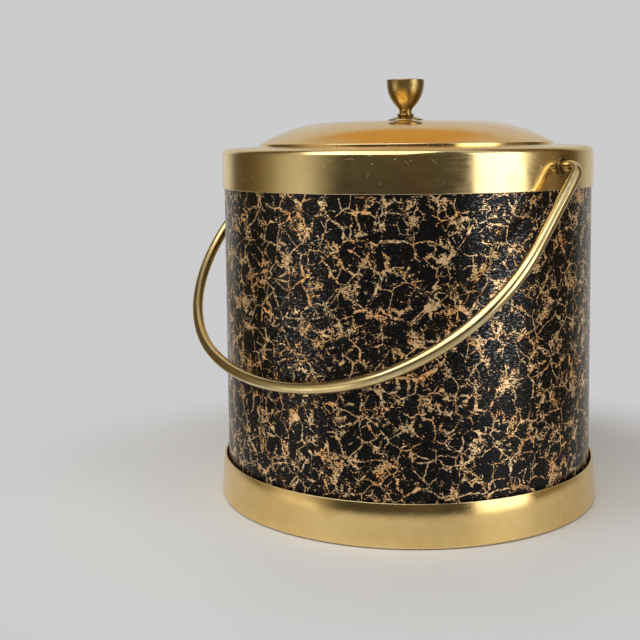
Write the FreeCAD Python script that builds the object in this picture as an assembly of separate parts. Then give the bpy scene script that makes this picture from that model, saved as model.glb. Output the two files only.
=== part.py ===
import FreeCAD, Part
import math
import os

# Ice bucket with a lift-off lid and a swinging bail handle, in millimetres.
# +Z is up, the origin is the centre of the foot's underside, the bail's pivot line
# runs along X at PIVOT_Z, and the bail hangs towards -Y.

# ---- driving dimensions -------------------------------------------------------------
BODY_R = 92.0            # outside of the vinyl wrap
PIVOT_Z = 166.5          # height of the bail's pivot line
SEAT_GAP = 0.3           # room left between pieces that move against each other
BEYOND = 2.0             # how far a cut runs past the surface it goes through

VINYL_T = 0.75
VINYL_SEAM = 0.5         # width of the butt seam at the back
VINYL_BOTTOM_Z, VINYL_TOP_Z = 8.0, 161.5

SHELL_OUTER_R, SHELL_INNER_R = 91.2, 89.0
SHELL_BOTTOM_Z, SHELL_TOP_Z = 4.0, 172.0

TOP_BAND_R = 92.9        # outside of the top band's wall
TOP_BAND_T = 0.6
TOP_BAND_BOTTOM_Z = 155.6
SHOULDER_Z = 172.3       # where the wall starts to turn in
SHOULDER_R = 2.9
LEDGE_RISE = 3.9         # degrees that the ledge climbs towards the mouth
LEDGE_INNER_R = 72.0     # where the ledge turns down into its lip
LIP_R = 1.0
LIP_BOTTOM_Z = 174.5

BASE_BAND_TOP_R = 93.95
BASE_BAND_TOP_Z = 19.9
BASE_BAND_T = 0.7
BASE_FLARE = 3.6         # degrees off upright
BASE_ROLL_R, BASE_ROLL = 62.0, 6.5               # the top rolls in towards the wrap
BASE_CORNER_R = 1.1
BASE_HEM_R = 88.6        # inner edge of the hem

BOARD_R, BOARD_BOTTOM_Z = 92.0, 1.0
FELT_R = 87.8

LINER_T = 2.0
LINER_FLANGE_R = 86.0
LINER_TOP_Z = 174.4
LINER_MOUTH_R = 69.0
LINER_LIP_R = 1.5
LINER_DRAFT = 1.3        # degrees
LINER_CORNER_R = 8.0
LINER_FLOOR_Z = 26.0

FOAM_R = 88.7
FOAM_TOP_Z = 171.6
FOAM_GAP = 0.4           # between the pot's wall and the foam
FOAM_BASE_GAP = 0.2      # under the pot's floor
POCKET_X, POCKET_HALF_WIDTH, POCKET_BOTTOM_Z = 82.0, 7.0, 159.0

ROD_R = 2.75
BAIL_HALF_WIDTH = 102.0  # from the middle to a leg's centre line
BAIL_END_BEND_R = 5.5
BAIL_LEG = 46.0          # from the pivot line to where the side arcs start
BAIL_SIDE_R, BAIL_SIDE_TURN = 88.0, 68.0
ROD_END_X = 83.5

EYELET_BORE_R = 2.83     # running fit on the rod
EYELET_T = 0.7
EYELET_FLANGE_R = 5.0
EYELET_FACE_X = 93.65
EYELET_MOUTH_R = 1.2
EYELET_CLINCH_R, EYELET_CLINCH_X = 1.1, 87.2
EYELET_CLINCH_RIM_R = 4.5
PIVOT_HOLE_R = 4.1
WASHER_T = 0.8
EYELET_WASHER_R, EYELET_WASHER_BORE_R, EYELET_WASHER_X = 6.0, 4.0, 87.95
BAIL_WASHER_R, BAIL_WASHER_BORE_R = 4.6, 2.85
PUSH_NUT_R, PUSH_NUT_BORE_R, PUSH_NUT_T = 4.8, 2.70, 1.4
PUSH_NUT_CHAMFER, PUSH_NUT_CHAMFER_H = 1.0, 0.9

LID_TOP_Z = 188.4
LID_T = 0.8
LID_CROWN_R, LID_CROWN_TURN = 1500.0, 1.375
LID_SHOULDER_R, LID_SLOPE = 78.0, 28.5
LID_SKIRT_R = 73.1       # where the skirt turns down to the edge
LID_EDGE_R, LID_EDGE_Z = 1.0, 176.6
LID_HOLE_R = 2.3

PAN_FLANGE_R, PAN_TOP_Z = 70.9, 177.6
PAN_T = 1.2
PAN_WALL_R = 66.3
PAN_LIP_R, PAN_CORNER_R = 2.0, 4.0
PAN_DRAFT = 2.0          # degrees
PAN_FLOOR_Z = 164.3
LID_FOAM_GAP = 0.2       # over the plug's floor
LID_FOAM_R, LID_FOAM_FOOT_R, LID_FOAM_WALL_FOOT_R = 65.6, 61.5, 65.2
LID_FOAM_SHOULDER_Z, LID_FOAM_TOP_Z, LID_FOAM_TOP_R = 178.5, 181.5, 60.0

SCREW_R, SCREW_HEAD_R, SCREW_HEAD_H = 2.0, 3.6, 2.6
SCREW_TOP_Z = 197.0
SLOT_W, SLOT_DEPTH = 1.0, 1.2
SCREW_WASHER_R, SCREW_WASHER_BORE_R = 5.5, 2.2
KNOB_H = 20.9
KNOB_TOP_R, KNOB_TOP_TURN = 150.0, 3.5           # the top is nearly flat
KNOB_RIM_R, KNOB_RIM_H = 0.35, 0.95
KNOB_CUP_R, KNOB_CUP_TURN = 17.5, 42.4
KNOB_CONE, KNOB_NECK_R = 2.0, 1.5
KNOB_BEAD_H, KNOB_BEAD_OUT, KNOB_BEAD_R = 3.45, 0.7, 0.45
KNOB_FOOT_LEDGE, KNOB_FOOT_DROP = 0.1, 30.0      # degrees below level where the foot starts
KNOB_FOOT_R, KNOB_FOOT_TURN = 7.0, 14.0
KNOB_FOOT_SPREAD, KNOB_FOOT_EDGE_R = 3.3, 0.45
KNOB_BORE_R, KNOB_BORE_DEPTH = 2.05, 9.6

DOWN, INWARD, OUTWARD = -90.0, 180.0, 0.0
V = FreeCAD.Vector


# ---- outlines -----------------------------------------------------------------------
def beside(point, angle, shift):
    """The point moved by shift to the left of somebody facing along angle."""
    return point + V(-shift * math.sin(angle), 0, shift * math.cos(angle))


def walk(start, heading, steps, shift=0.0):
    """Lines and arcs of a path in the plane y = 0, and its first and last point.

    The walker starts at (r, z) facing heading degrees, 0 being +X and 90 up. A step is
    ("run", length), ("to_r", r), ("to_z", z), or ("bend", radius, turn), where left turns
    are positive and radius 0 is a corner. shift draws the path that much to its left.
    """
    here, angle, edges = V(start[0], 0, start[1]), math.radians(heading), []
    first = beside(here, angle, shift)
    for kind, value, *rest in steps:
        if kind == "bend":
            turn = math.radians(rest[0])
            reach = math.copysign(value, turn)
            centre = beside(here, angle, reach)
            if value:
                marks = [beside(centre, angle + turn * share, shift - reach) for share in (0, 0.5, 1)]
                edges.append(Part.Arc(*marks).toShape())
            angle += turn
            here = beside(centre, angle, -reach)
            continue
        ahead = V(math.cos(angle), 0, math.sin(angle))
        length = {"run": lambda: value,
                  "to_r": lambda: (value - here.x) / ahead.x,
                  "to_z": lambda: (value - here.z) / ahead.z}[kind]()
        there = here + ahead * length
        edges.append(line(beside(here, angle, shift), beside(there, angle, shift)))
        here = there
    return edges, first, beside(here, angle, shift)


def line(a, b):
    return Part.LineSegment(a, b).toShape()


def spin(edges):
    """A closed outline turned once round the Z axis."""
    face = Part.Face(Part.Wire(Part.__sortEdges__(edges)))
    solid = face.revolve(V(0, 0, 0), V(0, 0, 1), 360)
    if solid.Volume < 0:
        solid.reverse()
    return solid


def spun_sheet(start, heading, steps, thickness):
    """A sheet that lies between a path and its copy, shifted left by thickness."""
    near, near_start, near_end = walk(start, heading, steps)
    far, far_start, far_end = walk(start, heading, steps, thickness)
    return spin(near + far + [line(near_start, far_start), line(near_end, far_end)])


def turned(start, heading, steps):
    """A solid whose outline is a path from the axis back to the axis."""
    edges, first, last = walk(start, heading, steps)
    return spin(edges + [line(last, first)])


def turned_polygon(points):
    corners = [V(r, 0, z) for r, z in points]
    return spin([line(a, b) for a, b in zip(corners, corners[1:] + corners[:1])])


def disc(radius, bottom, top):
    return Part.makeCylinder(radius, top - bottom, V(0, 0, bottom))


def ring(inner, outer, bottom, top):
    return disc(outer, bottom, top).cut(disc(inner, bottom, top))


def at_pivot(shape, side):
    """Lay a shape modelled along +Z on the pivot line, pointing out to one side."""
    placed = shape.copy()
    placed.rotate(V(0, 0, 0), V(0, 1, 0), 90.0 * side)
    placed.translate(V(0, 0, PIVOT_Z))
    return placed


def pivot_holes(shape):
    """Both holes for the eyelets, bored through a wall."""
    for side in (1, -1):
        bore = disc(PIVOT_HOLE_R, SHELL_INNER_R - BEYOND, TOP_BAND_R + BEYOND)
        shape = shape.cut(at_pivot(bore, side))
    return shape


# ---- the bucket's body --------------------------------------------------------------
def outer_shell():
    """Rolled fibreboard cylinder that everything else is built on."""
    return pivot_holes(ring(SHELL_INNER_R, SHELL_OUTER_R, SHELL_BOTTOM_Z, SHELL_TOP_Z))


def vinyl_wrap():
    """Leathercloth sheet glued round the cylinder, its ends butted at the back."""
    sheet = ring(BODY_R - VINYL_T, BODY_R, VINYL_BOTTOM_Z, VINYL_TOP_Z)
    seam_corner = V(-VINYL_SEAM / 2, BODY_R - 1.5 * VINYL_T, VINYL_BOTTOM_Z)
    seam = Part.makeBox(VINYL_SEAM, 2 * VINYL_T, VINYL_TOP_Z - VINYL_BOTTOM_Z, seam_corner)
    return sheet.cut(seam)


def top_band():
    """Spun rim: plain wall, round shoulder, and a ledge that climbs to a rolled lip."""
    band = spun_sheet(
        (TOP_BAND_R, TOP_BAND_BOTTOM_Z), 90.0,
        [("to_z", SHOULDER_Z),
         ("bend", SHOULDER_R, 90.0 - LEDGE_RISE),
         ("to_r", LEDGE_INNER_R),
         ("bend", LIP_R, 90.0 + LEDGE_RISE),
         ("to_z", LIP_BOTTOM_Z)],
        TOP_BAND_T)
    return pivot_holes(band)


def base_band():
    """Spun foot ring: rolled in at the top, flared a little, with a hem under the board."""
    hem_z = BOARD_BOTTOM_Z - BASE_BAND_T
    corner_z = hem_z + BASE_CORNER_R * (1 + math.sin(math.radians(BASE_FLARE)))
    return spun_sheet(
        (BASE_BAND_TOP_R, BASE_BAND_TOP_Z), DOWN + BASE_FLARE + BASE_ROLL,
        [("bend", BASE_ROLL_R, -BASE_ROLL),
         ("to_z", corner_z),
         ("bend", BASE_CORNER_R, -90.0 - BASE_FLARE),
         ("to_r", BASE_HEM_R)],
        -BASE_BAND_T)


def base_board():
    return disc(BOARD_R, BOARD_BOTTOM_Z, SHELL_BOTTOM_Z)


def base_felt():
    return disc(FELT_R, 0.0, BOARD_BOTTOM_Z)


def inner_liner():
    """Moulded plastic pot, hung by its flange under the band's ledge."""
    corner_z = LINER_FLOOR_Z + LINER_CORNER_R * (1 - math.sin(math.radians(LINER_DRAFT)))
    return spun_sheet(
        (LINER_FLANGE_R, LINER_TOP_Z), INWARD,
        [("to_r", LINER_MOUTH_R + LINER_LIP_R),
         ("bend", LINER_LIP_R, 90.0 - LINER_DRAFT),
         ("to_z", corner_z),
         ("bend", LINER_CORNER_R, LINER_DRAFT - 90.0),
         ("to_r", 0)],
        LINER_T)


def foam_jacket():
    """Insulation between the pot and the shell, notched for the bail's ends."""
    foot_z = LINER_FLOOR_Z - LINER_T
    wall_r = LINER_MOUTH_R + LINER_T + 2 * FOAM_GAP
    taper = math.tan(math.radians(LINER_DRAFT))
    knee_z = LINER_FLOOR_Z + LINER_CORNER_R
    knee_r = wall_r - taper * (LINER_TOP_Z - knee_z)
    jacket = turned_polygon([
        (FOAM_R, foot_z), (FOAM_R, FOAM_TOP_Z),
        (wall_r, FOAM_TOP_Z), (knee_r, knee_z), (knee_r, foot_z)])
    for side in (1, -1):
        notch = Part.makeBox(
            FOAM_R - POCKET_X + BEYOND, 2 * POCKET_HALF_WIDTH,
            FOAM_TOP_Z - POCKET_BOTTOM_Z + BEYOND,
            V(POCKET_X, -POCKET_HALF_WIDTH, POCKET_BOTTOM_Z))
        if side < 0:
            notch.rotate(V(0, 0, 0), V(0, 0, 1), 180)
        jacket = jacket.cut(notch)
    return jacket


def foam_base():
    return disc(FOAM_R, SHELL_BOTTOM_Z, LINER_FLOOR_Z - LINER_T - FOAM_BASE_GAP)


# ---- the bail and its pivots --------------------------------------------------------
def bail_crown_r():
    """Radius of the arc across the bail that meets both side arcs without a corner."""
    turn = math.radians(BAIL_SIDE_TURN)
    return (BAIL_HALF_WIDTH - BAIL_SIDE_R * (1 - math.cos(turn))) / math.cos(turn)


def bail_depth():
    """Distance from the pivot line to the middle of the bail's crown."""
    turn = math.radians(BAIL_SIDE_TURN)
    return BAIL_LEG + BAIL_SIDE_R * math.sin(turn) + bail_crown_r() * (1 - math.sin(turn))


def bail_hang():
    """Degrees below level at which the crown comes to rest against the wrap."""
    return math.degrees(math.acos((BODY_R + ROD_R + SEAT_GAP) / bail_depth()))


def bail():
    """One round rod: both ends turned in through the eyelets, legs, sides and crown."""
    half = [("run", BAIL_HALF_WIDTH - BAIL_END_BEND_R - ROD_END_X),
            ("bend", BAIL_END_BEND_R, -90.0),
            ("run", BAIL_LEG - BAIL_END_BEND_R),
            ("bend", BAIL_SIDE_R, -BAIL_SIDE_TURN)]
    crown = ("bend", bail_crown_r(), 2 * BAIL_SIDE_TURN - 180.0)
    edges, first, last = walk((ROD_END_X, 0), OUTWARD, half + [crown] + half[::-1])
    path = Part.Wire(edges)
    section = Part.Wire(Part.makeCircle(ROD_R, first, V(1, 0, 0)))
    rod = path.makePipeShell([section], True, False)
    ideal = math.pi * ROD_R**2 * path.Length
    print("bail: depth %.2f, hangs %.2f degrees below level, volume %.4f of ideal"
          % (bail_depth(), bail_hang(), rod.Volume / ideal))
    rod.rotate(V(0, 0, 0), V(1, 0, 0), bail_hang() - 90.0)
    rod.translate(V(0, 0, PIVOT_Z))
    return rod


def eyelet(side):
    """Brass eyelet: flat flange outside, flared mouth, tube, and a clinch inside."""
    shape = spun_sheet(
        (EYELET_FLANGE_R, EYELET_FACE_X), INWARD,
        [("to_r", EYELET_BORE_R + EYELET_MOUTH_R),
         ("bend", EYELET_MOUTH_R, 90.0),
         ("to_z", EYELET_CLINCH_X + EYELET_CLINCH_R),
         ("bend", EYELET_CLINCH_R, 90.0),
         ("to_r", EYELET_CLINCH_RIM_R)],
        EYELET_T)
    return at_pivot(shape, side)


def eyelet_washer(side):
    """Plate inside the shell that the eyelet is clinched over."""
    plate = ring(EYELET_WASHER_BORE_R, EYELET_WASHER_R, EYELET_WASHER_X, EYELET_WASHER_X + WASHER_T)
    return at_pivot(plate, side)


def bail_washer(side):
    face = EYELET_CLINCH_X - SEAT_GAP
    return at_pivot(ring(BAIL_WASHER_BORE_R, BAIL_WASHER_R, face - WASHER_T, face), side)


def push_nut(side):
    """Pressed nut that grips the rod's end and keeps it from drawing out."""
    face = EYELET_CLINCH_X - SEAT_GAP - WASHER_T
    nut = turned_polygon([
        (PUSH_NUT_BORE_R, face), (PUSH_NUT_R, face), (PUSH_NUT_R, face - PUSH_NUT_CHAMFER_H),
        (PUSH_NUT_R - PUSH_NUT_CHAMFER, face - PUSH_NUT_T),
        (PUSH_NUT_BORE_R, face - PUSH_NUT_T)])
    return at_pivot(nut, side)


# ---- the lid ------------------------------------------------------------------------
def lid_shell():
    """Spun dome: nearly flat crown, round shoulder, and an edge turned down."""
    dome = spun_sheet(
        (0.0, LID_TOP_Z), OUTWARD,
        [("bend", LID_CROWN_R, -LID_CROWN_TURN),
         ("bend", LID_SHOULDER_R, LID_CROWN_TURN - LID_SLOPE),
         ("to_r", LID_SKIRT_R),
         ("bend", LID_EDGE_R, LID_SLOPE - 90.0),
         ("to_z", LID_EDGE_Z)],
        -LID_T)
    return dome.cut(disc(LID_HOLE_R, LID_TOP_Z - LID_T - BEYOND, LID_TOP_Z + BEYOND))


def lid_pan():
    """Moulded plug under the dome that drops into the pot's mouth."""
    corner_z = PAN_FLOOR_Z + PAN_CORNER_R * (1 - math.sin(math.radians(PAN_DRAFT)))
    return spun_sheet(
        (PAN_FLANGE_R, PAN_TOP_Z), INWARD,
        [("to_r", PAN_WALL_R + PAN_LIP_R),
         ("bend", PAN_LIP_R, 90.0 - PAN_DRAFT),
         ("to_z", corner_z),
         ("bend", PAN_CORNER_R, PAN_DRAFT - 90.0),
         ("to_r", 0)],
        PAN_T)


def lid_foam():
    """Insulation disc that fills the plug up to the dome."""
    bottom = PAN_FLOOR_Z + LID_FOAM_GAP
    return turned_polygon([
        (0, bottom), (LID_FOAM_FOOT_R, bottom),
        (LID_FOAM_WALL_FOOT_R, bottom + LID_FOAM_R - LID_FOAM_FOOT_R),
        (LID_FOAM_R, LID_FOAM_SHOULDER_Z), (LID_FOAM_TOP_R, LID_FOAM_TOP_Z),
        (0, LID_FOAM_TOP_Z)])


def knob():
    """Cast urn: flat top, egg-shaped cup, neck, bead and a spread foot."""
    top = [("bend", KNOB_TOP_R, -KNOB_TOP_TURN),
           ("bend", KNOB_RIM_R, KNOB_TOP_TURN - 90.0),
           ("run", KNOB_RIM_H)]
    cup = [("bend", KNOB_CUP_R, -KNOB_CUP_TURN),
           ("run", KNOB_CONE),
           ("bend", KNOB_NECK_R, KNOB_CUP_TURN),
           ("to_z", LID_TOP_Z + KNOB_BEAD_H)]
    bead = [("bend", 0, 90.0),
            ("run", KNOB_BEAD_OUT),
            ("bend", KNOB_BEAD_R, -180.0),
            ("run", KNOB_FOOT_LEDGE)]
    foot = [("bend", 0, 180.0 - KNOB_FOOT_DROP),
            ("bend", KNOB_FOOT_R, KNOB_FOOT_TURN),
            ("run", KNOB_FOOT_SPREAD),
            ("bend", KNOB_FOOT_EDGE_R, KNOB_FOOT_DROP - KNOB_FOOT_TURN - 90.0),
            ("to_z", LID_TOP_Z),
            ("bend", 0, -90.0),
            ("to_r", 0)]
    urn = turned((0.0, LID_TOP_Z + KNOB_H), OUTWARD, top + cup + bead + foot)
    return urn.cut(disc(KNOB_BORE_R, LID_TOP_Z - BEYOND, LID_TOP_Z + KNOB_BORE_DEPTH))


def screw_face_z():
    """Lowest height of the dome's underside over the screw's washer, which bears on it."""
    return LID_TOP_Z - LID_T - SCREW_WASHER_R**2 / (2 * LID_CROWN_R)


def knob_screw():
    seat = screw_face_z() - WASHER_T
    head = disc(SCREW_HEAD_R, seat - SCREW_HEAD_H, seat)
    slot = Part.makeBox(4 * SCREW_HEAD_R, SLOT_W, SLOT_DEPTH,
                        V(-2 * SCREW_HEAD_R, -SLOT_W / 2, seat - SCREW_HEAD_H))
    return head.cut(slot).fuse(disc(SCREW_R, seat, SCREW_TOP_Z)).removeSplitter()


def knob_screw_washer():
    face = screw_face_z()
    return ring(SCREW_WASHER_BORE_R, SCREW_WASHER_R, face - WASHER_T, face)


# ---- writing ------------------------------------------------------------------------
def nodes():
    """Every piece by the name of its node."""
    pieces = {maker.__name__: maker() for maker in (
        outer_shell, vinyl_wrap, top_band, base_band, base_board, base_felt,
        inner_liner, foam_jacket, foam_base, bail,
        lid_shell, lid_pan, lid_foam, knob, knob_screw, knob_screw_washer)}
    for maker in (eyelet, eyelet_washer, bail_washer, push_nut):
        for name, side in (("right", 1), ("left", -1)):
            pieces[maker.__name__ + "_" + name] = maker(side)
    return pieces


os.makedirs("parts", exist_ok=True)
for node, shape in nodes().items():
    if not shape.isValid() or len(shape.Solids) != 1 or shape.Volume <= 0:
        raise ValueError(node + " is not one closed solid")
    shape.exportStep("parts/" + node + ".step")
    box = shape.BoundBox
    print("%-22s %10.1f mm3   x %7.2f %7.2f   y %7.2f %7.2f   z %7.2f %7.2f"
          % (node, shape.Volume, box.XMin, box.XMax, box.YMin, box.YMax, box.ZMin, box.ZMax))
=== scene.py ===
import math

import bpy
import numpy as np
from bpy.props import FloatProperty, FloatVectorProperty, PointerProperty
from mathutils import Matrix, Vector


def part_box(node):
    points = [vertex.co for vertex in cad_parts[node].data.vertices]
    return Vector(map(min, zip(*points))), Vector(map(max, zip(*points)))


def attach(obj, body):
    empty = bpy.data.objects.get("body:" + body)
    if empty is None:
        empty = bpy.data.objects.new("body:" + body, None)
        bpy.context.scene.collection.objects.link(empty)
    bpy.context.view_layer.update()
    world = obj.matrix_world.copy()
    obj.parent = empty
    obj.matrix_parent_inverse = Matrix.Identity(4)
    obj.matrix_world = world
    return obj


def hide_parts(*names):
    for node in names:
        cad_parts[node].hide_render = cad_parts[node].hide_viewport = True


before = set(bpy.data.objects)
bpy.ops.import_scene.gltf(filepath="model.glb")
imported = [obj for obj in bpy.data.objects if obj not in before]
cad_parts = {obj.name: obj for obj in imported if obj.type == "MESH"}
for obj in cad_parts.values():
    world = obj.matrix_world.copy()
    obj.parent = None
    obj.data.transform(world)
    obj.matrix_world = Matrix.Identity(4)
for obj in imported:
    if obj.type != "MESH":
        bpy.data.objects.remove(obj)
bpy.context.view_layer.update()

# Ice bucket: a cylinder wrapped in crackle-printed leathercloth between two spun gold bands,
# with a spun lid, a cast knob and a rod bail that swings on two eyelets. Everything is in
# metres, +Z is up, the bail's pivot line runs along X and the bail hangs towards -Y.

bl_info = {
    "name": "Ice Bucket",
    "version": (1, 0, 0),
    "blender": (4, 5, 0),
    "location": "3D View > Sidebar > Ice Bucket",
    "description": "Builds a leathercloth ice bucket with spun gold bands round its frame",
    "category": "Add Mesh",
}

MM = 0.001


# ---- sizes --------------------------------------------------------------------------
def low(node):
    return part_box(node)[0]


def high(node):
    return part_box(node)[1]


PIVOT_Z = (low("eyelet_right").z + high("eyelet_right").z) / 2

WRAP_R, WRAP_T, WRAP_SEAM = high("vinyl_wrap").x, 0.75 * MM, 0.5 * MM
WRAP_BOTTOM, WRAP_TOP = low("vinyl_wrap").z, high("vinyl_wrap").z

RIM_R, RIM_T = high("top_band").x, 0.6 * MM
RIM_BOTTOM = low("top_band").z
RIM_SHOULDER_Z, RIM_SHOULDER_R = 172.3 * MM, 2.9 * MM
RIM_LEDGE_RISE, RIM_LEDGE_R = 3.9, 72.0 * MM
RIM_LIP_R, RIM_LIP_Z = 1.0 * MM, 174.5 * MM
PIVOT_HOLE_R = 4.1 * MM
HOLE_ROWS, HOLE_PITCH, HOLE_RING = 5, 1.12 * MM, 3

FOOT_R, FOOT_T = 93.95 * MM, 0.7 * MM
FOOT_BOTTOM, FOOT_TOP = low("base_band").z, high("base_band").z
FOOT_FLARE, FOOT_ROLL_R, FOOT_ROLL = 3.6, 62.0 * MM, 6.5
FOOT_CORNER_R, FOOT_HEM_R = 1.1 * MM, 88.6 * MM

LINER_FLANGE_R, LINER_T = high("inner_liner").x, 2.0 * MM
LINER_TOP, LINER_FLOOR = high("inner_liner").z, 26.0 * MM
LINER_MOUTH_R, LINER_LIP_R, LINER_CORNER_R, LINER_DRAFT = 69.0 * MM, 1.5 * MM, 8.0 * MM, 1.3

ROD_R, ROD_END_X = 2.75 * MM, 83.5 * MM
BAIL_HALF_WIDTH, BAIL_END_BEND_R, BAIL_LEG = 102.0 * MM, 5.5 * MM, 46.0 * MM
BAIL_SIDE_R, BAIL_SIDE_TURN = 88.0 * MM, 68.0
BAIL_REST_GAP = 0.3 * MM
BAIL_END_ROWS, BAIL_LEG_ROWS = 8, 16

EYELET_T, EYELET_BORE_R, EYELET_FLANGE_R = 0.7 * MM, 2.83 * MM, 5.0 * MM
EYELET_FACE, EYELET_MOUTH_R = high("eyelet_right").x, 1.2 * MM
EYELET_CLINCH_X, EYELET_CLINCH_R, EYELET_RIM_R = low("eyelet_right").x, 1.1 * MM, 4.5 * MM

LID_TOP, LID_EDGE, LID_T = high("lid_shell").z, low("lid_shell").z, 0.8 * MM
LID_CROWN_R, LID_CROWN_TURN = 1500.0 * MM, 1.375
LID_SHOULDER_R, LID_SLOPE = 78.0 * MM, 28.5
LID_SKIRT_R, LID_EDGE_R, LID_HOLE_R = 73.4 * MM, 0.4 * MM, 2.3 * MM

PLUG_FLANGE_R, PLUG_TOP, PLUG_T = high("lid_pan").x, high("lid_pan").z, 1.2 * MM
PLUG_WALL_R, PLUG_LIP_R, PLUG_CORNER_R = 66.3 * MM, 2.0 * MM, 4.0 * MM
PLUG_DRAFT, PLUG_FLOOR = 2.0, 164.3 * MM

KNOB_TOP = high("knob").z
KNOB_TOP_R, KNOB_TOP_TURN = 150.0 * MM, 3.5
KNOB_RIM_R, KNOB_RIM_H = 0.35 * MM, 0.95 * MM
KNOB_CUP_R, KNOB_CUP_TURN, KNOB_CONE, KNOB_NECK_R = 17.5 * MM, 42.4, 2.0 * MM, 1.5 * MM
KNOB_BEAD_H, KNOB_BEAD_OUT, KNOB_BEAD_R = 3.45 * MM, 0.7 * MM, 0.45 * MM
KNOB_FOOT_DROP, KNOB_FOOT_R, KNOB_FOOT_TURN = 30.0, 7.0 * MM, 14.0
KNOB_FOOT_SPREAD, KNOB_FOOT_EDGE_R = 3.3 * MM, 0.45 * MM
KNOB_BORE_R, KNOB_BORE_DEPTH = 2.05 * MM, 9.6 * MM
KNOB_FILLET_R = 0.12 * MM

FELT_R, FELT_TOP, FELT_EDGE_R = high("base_felt").x, high("base_felt").z, 0.35 * MM

AROUND_BODY, AROUND_INSIDE, AROUND_KNOB, AROUND_EYELET, AROUND_ROD = 512, 256, 192, 96, 32
ARC_STEP, ARC_LENGTH = 7.5, 1.6 * MM     # most degrees and most length between two points
SUPPORT = 0.2 * MM                       # how near a row stands to the end of a flat
EDGE_POINTS = 5                          # rows round a sheet's half-round edge
SHARP_ANGLE = math.radians(50.0)         # a steeper edge than this isn't shaded round


# ---- settings -----------------------------------------------------------------------
def colour(name, description, default):
    return FloatVectorProperty(name=name, description=description, subtype="COLOR",
                               size=3, min=0.0, max=1.0, default=default)


def length(name, description, default):
    return FloatProperty(name=name, description=description, unit="LENGTH",
                         precision=5, min=0.0, default=default)


def share(name, description, default):
    return FloatProperty(name=name, description=description, subtype="FACTOR",
                         min=0.0, max=1.0, default=default)


class IceBucketWrap(bpy.types.PropertyGroup):
    """The leathercloth round the body."""
    ground: colour("Ground", "Colour of the vinyl under the print", (0.0024, 0.0022, 0.0021))
    print_colour: colour("Print", "Colour of the metallic crackle", (1.0, 0.80, 0.48))
    # The crackle's darker copper is painted shade, laid in the crinkle's dips and made uneven by a
    # random tone.
    painted_copper_shade: colour("Copper_shade", "Colour that the crackle darkens to", (0.92, 0.47, 0.18))
    cell: length("Crackle size", "Distance between the crackle's knots", 11.0 * MM)
    vein: length("Vein width", "Width of the crackle's thinnest veins", 0.34 * MM)
    pebble: length("Grain size", "Width of one pebble of the embossed grain", 1.15 * MM)
    gloss: share("Roughness", "Roughness of the vinyl between the veins", 0.22)


class IceBucketMetal(bpy.types.PropertyGroup):
    """The spun bands and the lid, and the brass pieces."""
    band: colour("Band gold", "Anodised gold of the rim band", (0.89, 0.70, 0.36))
    foot: colour("Foot gold", "Anodised gold of the foot band", (0.93, 0.68, 0.30))
    lid: colour("Lid gold", "Anodised gold of the lid", (0.92, 0.65, 0.275))
    bail: colour("Bail brass", "Drawn brass of the bail", (0.83, 0.69, 0.38))
    knob: colour("Knob brass", "Cast brass of the knob, rubbed bright", (0.47, 0.36, 0.15))
    patina: colour("Patina", "Colour of old brass in the hollows", (0.16, 0.10, 0.035))
    brushing: length("Brushing pitch", "Distance between the brush marks", 0.22 * MM)
    wear: share("Wear", "How scratched and marked the metal is", 0.5)


class IceBucketInside(bpy.types.PropertyGroup):
    """What shows with the lid off or from below."""
    plastic: colour("Pot plastic", "Moulded plastic of the pot and the plug", (0.78, 0.72, 0.58))
    board: colour("Board", "Fibreboard of the shell and the base", (0.28, 0.18, 0.10))
    foam: colour("Foam", "Expanded foam round the pot", (0.86, 0.85, 0.80))
    felt: colour("Felt", "Felt under the base", (0.016, 0.022, 0.018))


class IceBucketStage(bpy.types.PropertyGroup):
    """The camera, the floor and the light."""
    place: FloatVectorProperty(name="Camera place", description="Where the camera stands",
                               subtype="TRANSLATION", size=3,
                               default=(0.3723, -0.4335, 0.1803))
    heading: FloatProperty(name="Heading", description="Camera's turn from +Y towards +X",
                           subtype="ANGLE", default=math.radians(-45.07))
    pitch: FloatProperty(name="Pitch", description="How far the camera looks down",
                         subtype="ANGLE", default=math.radians(5.23))
    roll: FloatProperty(name="Roll", description="Camera's tilt", subtype="ANGLE",
                        default=math.radians(-0.60))
    lens: FloatProperty(name="Lens", description="Focal length on a 36 mm frame",
                        unit="CAMERA", default=62.89)
    drop: FloatProperty(name="Shift", description="Share of the frame that the view is moved",
                        default=-0.125)
    floor_radius: length("Floor", "Radius of the floor", 0.27)
    floor: colour("Floor colour", "Pale floor", (0.745, 0.765, 0.80))
    backdrop: colour("Backdrop", "Plain colour behind the object", (0.60, 0.60, 0.61))
    window_power: FloatProperty(name="Window", description="Power of the large soft light",
                                unit="POWER", default=13.0)
    side_power: FloatProperty(name="Side light", description="Power of the upright soft light",
                              unit="POWER", default=4.3)
    ambient: FloatProperty(name="Ambient", description="Strength of the studio's walls",
                           default=1.0)


SETTINGS = {"ice_bucket_wrap": IceBucketWrap, "ice_bucket_metal": IceBucketMetal,
            "ice_bucket_inside": IceBucketInside, "ice_bucket_stage": IceBucketStage}


# ---- outlines -----------------------------------------------------------------------
def ahead(angle):
    return np.stack([np.cos(angle), np.sin(angle)], -1)


def left(angle):
    return np.stack([-np.sin(angle), np.cos(angle)], -1)


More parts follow.
